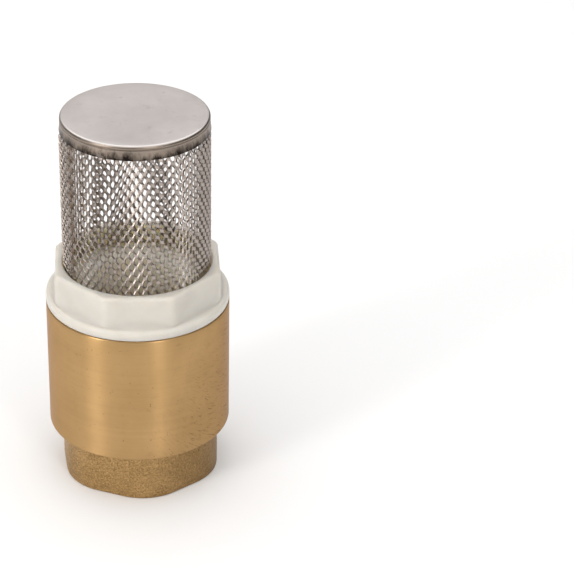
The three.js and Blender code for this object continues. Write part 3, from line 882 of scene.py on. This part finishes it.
def strainer_nut(look):
    """An octagon on a round flange, with the mesh's recess above and a threaded spigot below."""
    edge, fillet, rim, thread_play = 1.2, 3.0, 1.3, 0.15
    columns = 360
    angle = np.arange(columns) * TAU / columns
    octagon = polygon_radius(angle, 8, NUT_FLATS, NUT_CORNER_R, math.radians(22.5))
    rows = []

    def ring(radius, z):
        rows.append((np.broadcast_to(radius, angle.shape).astype(float), np.full(columns, float(z))))

    # recess and top rim
    ring(RECESS_R, RECESS_FLOOR)
    ring(RECESS_R, NUT_TOP - 0.9)
    for r, z in arc(RECESS_R + 0.5, NUT_TOP - 0.5, 0.5, 180, 90, 4):
        ring(r, z)
    # top edge and the sides of the octagon
    for r, z in arc(-edge, NUT_TOP - edge, edge, 90, 0, 6):
        ring(octagon + r, z)
    for z in np.linspace(NUT_TOP - edge - 0.8, FLANGE_TOP + fillet + 0.3, 6):
        ring(octagon, z)
    # hollow fillet down to the flange, narrower at the corners, and the flange's round rim
    reach = np.minimum(2.2, 0.85 * (BODY_R - rim - octagon))
    for inward, downward in arc(0, 0, 1, 0, 90, 7):
        ring(octagon + reach * (1 - inward), FLANGE_TOP + fillet * (1 - downward))
    for r, z in arc(BODY_R - rim, FLANGE_TOP - rim, rim, 75, 0, 6):
        ring(r, z)
    for r, z in arc(BODY_R - 0.9, BODY_TOP + 0.9, 0.9, 0, -90, 5):
        ring(r, z)
    # underside, spigot with its thread's tip tapered, and bore
    ring(THREAD_MINOR_R, BODY_TOP)
    for z in np.arange(BODY_TOP - 0.3, NUT_BOTTOM + 0.5, -0.2):
        wave = thread_wave(z / THREAD_PITCH - angle / TAU)
        full = THREAD_MEAN_R - thread_play - wave * (THREAD_MAJOR_R - THREAD_MINOR_R) / 2
        ring(np.minimum(full, THREAD_MINOR_R + (z - NUT_BOTTOM) * 0.9), z)
    ring(THREAD_MINOR_R - 0.4, NUT_BOTTOM)
    ring(NUT_BORE_R + 0.5, NUT_BOTTOM)
    ring(NUT_BORE_R, NUT_BOTTOM + 0.5)
    ring(NUT_BORE_R, RECESS_FLOOR - 0.6)
    ring(NUT_BORE_R + 0.6, RECESS_FLOOR)

    radius = np.array([row[0] for row in rows])
    height = np.array([row[1] for row in rows])
    nut = surface("strainer_nut_moulding", radius, height, True, 50)
    nut.data.materials.append(look)
    place(nut, "valve", "nut_nylon", "strainer_nut")


# ---- Strainer mesh: a rolled sheet of expanded metal ----

# Places on the flat sheet are (u, v) in half cells. An opening is centred wherever whole numbers
# u and v add up to an odd number, and a knot wherever they add up to an even one.
CELLS_AROUND = 54
HALF_ROWS = 28
KNOT_HALF_WIDTH = 0.40
KNOT_HALF_HEIGHT = 0.26
# 1 makes an opening an ellipse, 2 makes it a diamond
OPENING_POWER = 1.25
QUARTER_STEPS = 4
# how far the metal stands out for each half cell from its strand's centre line, in millimetres
TILT = 0.72
# how far a strand bends to either side of a straight line from knot to knot, in half cells
STRAND_TWIST = 0.27


def opening_outline(i, j):
    """Points round one opening, counter-clockwise from its right-hand corner."""
    half_width, half_height = 1 - KNOT_HALF_WIDTH, 1 - KNOT_HALF_HEIGHT
    points = []
    for step in range(4 * QUARTER_STEPS):
        right, up = on_circle(1, TAU * step / (4 * QUARTER_STEPS))
        if j in (0, HALF_ROWS):
            # along the sheet's straight edges the metal is closed
            points.append((i + right, j))
        else:
            du = half_width * math.copysign(abs(right) ** OPENING_POWER, right)
            dv = half_height * math.copysign(abs(up) ** OPENING_POWER, up)
            points.append((i + du, j + dv))
    return points


def stand_out(u, v, i, j):
    """How far the metal at (u, v) on the rim of opening (i, j) stands out: knots and strands are tilted."""
    beside = i + (1 if u >= i else -1)
    low_u, high_u, low_v = (beside, i, j) if v >= j else (i, beside, j - 1)
    along = v - low_v
    centre_u = low_u + (high_u - low_u) * along
    twist = STRAND_TWIST * (high_u - low_u) * math.sin(TAU * along)
    return TILT * (twist + u - centre_u)


def sheet_point(u, v, out):
    """Rolls the sheet: it starts under the lap, goes once round, and ends on top of its own start."""
    start = LAP_EDGE_ANGLE - LAP_WIDTH
    turned_by = u * TAU / (2 * CELLS_AROUND)
    sinking = eased(1 - turned_by / (LAP_WIDTH + SINK_STRETCH))
    rising = eased((turned_by - TAU + LIFT_STRETCH) / LIFT_STRETCH)
    height = SHEET_BOTTOM + v * (SHEET_TOP - SHEET_BOTTOM) / HALF_ROWS
    radius = MESH_R + LAP_LIFT * rising - LAP_SINK * sinking + out
    # squeezed flat where the cap's skirt goes over it
    under_skirt = eased((height - SKIRT_BOTTOM + 2.2) / 2)
    squeezed = SKIRT_INNER_R - 0.1 - 0.45 * sinking
    radius += (squeezed - radius) * under_skirt
    return (*on_circle(radius, start + turned_by), height)


def strainer_mesh(look):
    """Strands and knots between the outlines of the openings, then made as thick as the metal."""
    width = 2 * CELLS_AROUND + round(2 * CELLS_AROUND * LAP_WIDTH / TAU)
    n = QUARTER_STEPS
    first = {}
    vertices = []
    for i in range(width + 1):
        for j in range(HALF_ROWS + 1):
            if (i + j) % 2 == 0:
                continue
            first[i, j] = len(vertices)
            for u, v in opening_outline(i, j):
                out = 0 if j in (0, HALF_ROWS) else stand_out(u, v, i, j)
                vertices.append(sheet_point(u, v, out))
    faces = []

    def corner(i, j, step):
        return first[i, j] + step % (4 * n)

    # the strands between each opening and the two that face it above, on its right and on its left
    for i, j in first:
        for step in range(n):
            for side in (1, -1):
                if (i + side, j + 1) in first:
                    start, end = (corner(i, j, n - side * (n - k)) for k in (step, step + 1))
                    facing = [corner(i + side, j + 1, 3 * n - side * k) for k in (step + 1, step)]
                    # on the right the corners run the other way round, so that both fronts face outward
                    faces.append([start, *[end, *facing][::-side]])
    # the knot between four openings, or half of one at the sheet's two cut ends
    for i in range(width + 1):
        for j in range(1, HALF_ROWS):
            if (i + j) % 2 == 0:
                around = ((i - 1, j, 0), (i, j - 1, n), (i + 1, j, 2 * n), (i, j + 1, 3 * n))
                faces.append([corner(*point) for point in around if point[:2] in first])
    sheet = new_object("strainer_mesh_sheet", vertices, faces)
    # the metal's thickness goes inward
    thick = sheet.modifiers.new("metal", "SOLIDIFY")
    thick.thickness = MESH_METAL * MM
    thick.offset = -1
    apply_modifiers(sheet)
    weld(sheet)
    smooth(sheet, 40)
    sheet.data.materials.append(look)
    place(sheet, "valve", "mesh_stainless", "strainer_mesh")


# ---- Strainer cap ----


def strainer_cap(look):
    """A pressed lid: a slightly hollow top, a rounded edge, a shallow neck and a flared skirt."""
    edge, neck = 0.9, 0.45
    edge_r = CAP_R - 0.12 - edge
    outline = [(0, CAP_TOP - 0.06), (8, CAP_TOP - 0.06), (16, CAP_TOP - 0.04), (20.5, CAP_TOP - 0.01)]
    outline += arc(edge_r, CAP_TOP - edge, edge, 90, -38, 11)
    outline += arc(edge_r + 1.22, CAP_TOP - edge - 1.0, neck, 135, 185, 4)
    outline += [(CAP_R - 0.10, CAP_TOP - 3.0), (CAP_R, SKIRT_BOTTOM + 0.6)]
    outline += [(CAP_R + 0.10, SKIRT_BOTTOM + 0.1), (CAP_R + 0.03, SKIRT_BOTTOM)]
    outline += [(CAP_R - 0.2, SKIRT_BOTTOM), (SKIRT_INNER_R, SKIRT_BOTTOM + 0.6)]
    # the inside, back up and in to the axis
    inner_r = SKIRT_INNER_R - 0.2
    inner_edge = edge - CAP_METAL
    outline += [(inner_r, CAP_TOP - 2.2)]
    outline += arc(inner_r - inner_edge, CAP_TOP - edge, inner_edge, 0, 90, 5)
    outline += [(0, CAP_TOP - CAP_METAL)]
    cap = turned("strainer_cap_pressing", outline, 224, 40)
    cap.data.materials.append(look)
    place(cap, "valve", "cap_stainless", "strainer_cap")


# ---- Floor, light and camera ----


def studio_floor():
    bpy.ops.mesh.primitive_plane_add(size=4, location=(0, 0, -0.1 * MM))
    floor = bpy.context.object
    floor.name = "studio_floor"
    floor.data.materials.append(floor_paint())


def room_light():
    """A dim room that is a little brighter on its -X side."""
    world = bpy.data.worlds.new("studio_world")
    world.use_nodes = True
    tree = world.node_tree
    background = tree.nodes["Background"]
    background.inputs["Color"].default_value = (1.0, 0.99, 0.98, 1)
    direction = tree.nodes.new("ShaderNodeSeparateXYZ")
    tree.links.new(tree.nodes.new("ShaderNodeTexCoord").outputs["Generated"], direction.inputs[0])
    brightness = tree.nodes.new("ShaderNodeMapRange")
    brightness.inputs["From Min"].default_value = -1
    brightness.inputs["From Max"].default_value = 1
    brightness.inputs["To Min"].default_value = 0.20
    brightness.inputs["To Max"].default_value = 0.03
    tree.links.new(direction.outputs["X"], brightness.inputs["Value"])
    tree.links.new(brightness.outputs[0], background.inputs["Strength"])
    bpy.context.scene.world = world


def softbox(name, location, width, height, power, colour=(1, 1, 1)):
    """A rectangular area light that faces the middle of the valve."""
    middle = Vector((0, 0, 0.06))
    light = bpy.data.lights.new(name, "AREA")
    light.shape = "RECTANGLE"
    light.size = width
    light.size_y = height
    light.energy = power
    light.color = colour
    obj = bpy.data.objects.new(name, light)
    obj.location = location
    obj.rotation_euler = (middle - Vector(location)).to_track_quat("-Z", "Y").to_euler()
    bpy.context.scene.collection.objects.link(obj)


def studio():
    """Two narrow softboxes that streak the barrel, a large one overhead and a wide one behind."""
    studio_floor()
    room_light()
    softbox("softbox_left", (-0.79, -0.62, 0.35), 0.22, 0.9, 4.8, (1, 0.97, 0.94))
    softbox("softbox_right", (0.39, -0.92, 0.40), 0.14, 0.9, 2.7, (1, 0.98, 0.96))
    softbox("softbox_top", (0, 0, 1.35), 3.0, 3.0, 40)
    softbox("softbox_back", (-0.15, 1.1, 0.65), 1.5, 0.9, 2.55, (1, 0.95, 0.945))


def camera():
    data = bpy.data.cameras.new("photo_camera")
    data.lens = 144.46
    data.sensor_width = 36
    obj = bpy.data.objects.new("photo_camera", data)
    obj.location = (-0.00544, -0.65677, 0.43763)
    aim = Vector((0.04896, 0, 0.0643))
    roll = math.radians(1.165)
    looking = (aim - obj.location).to_track_quat("-Z", "Y").to_matrix()
    obj.rotation_euler = (looking @ Matrix.Rotation(roll, 3, "Z")).to_euler()
    bpy.context.scene.collection.objects.link(obj)
    bpy.context.scene.camera = obj


# ---- The whole scene ----

bpy.context.scene.view_settings.view_transform = "Standard"
camera()
studio()

brass = [turned_brass(), cast_brass(), machined_brass()]
valve_body(brass)
white = nylon("nylon_white", (0.86, 0.83, 0.77))
black_rubber = rubber()
inlet_bush(brass[MACHINED])
bush_ring(black_rubber)
poppet_stem(white)
poppet_disc(black_moulding())
seat_seal(black_rubber)
seal_retainer(white)
return_spring(spring_wire())
strainer_nut(nylon("nylon_ivory", (0.65, 0.617, 0.56), 0.85, bore=True))
strainer_mesh(mesh_steel())
strainer_cap(cap_steel())
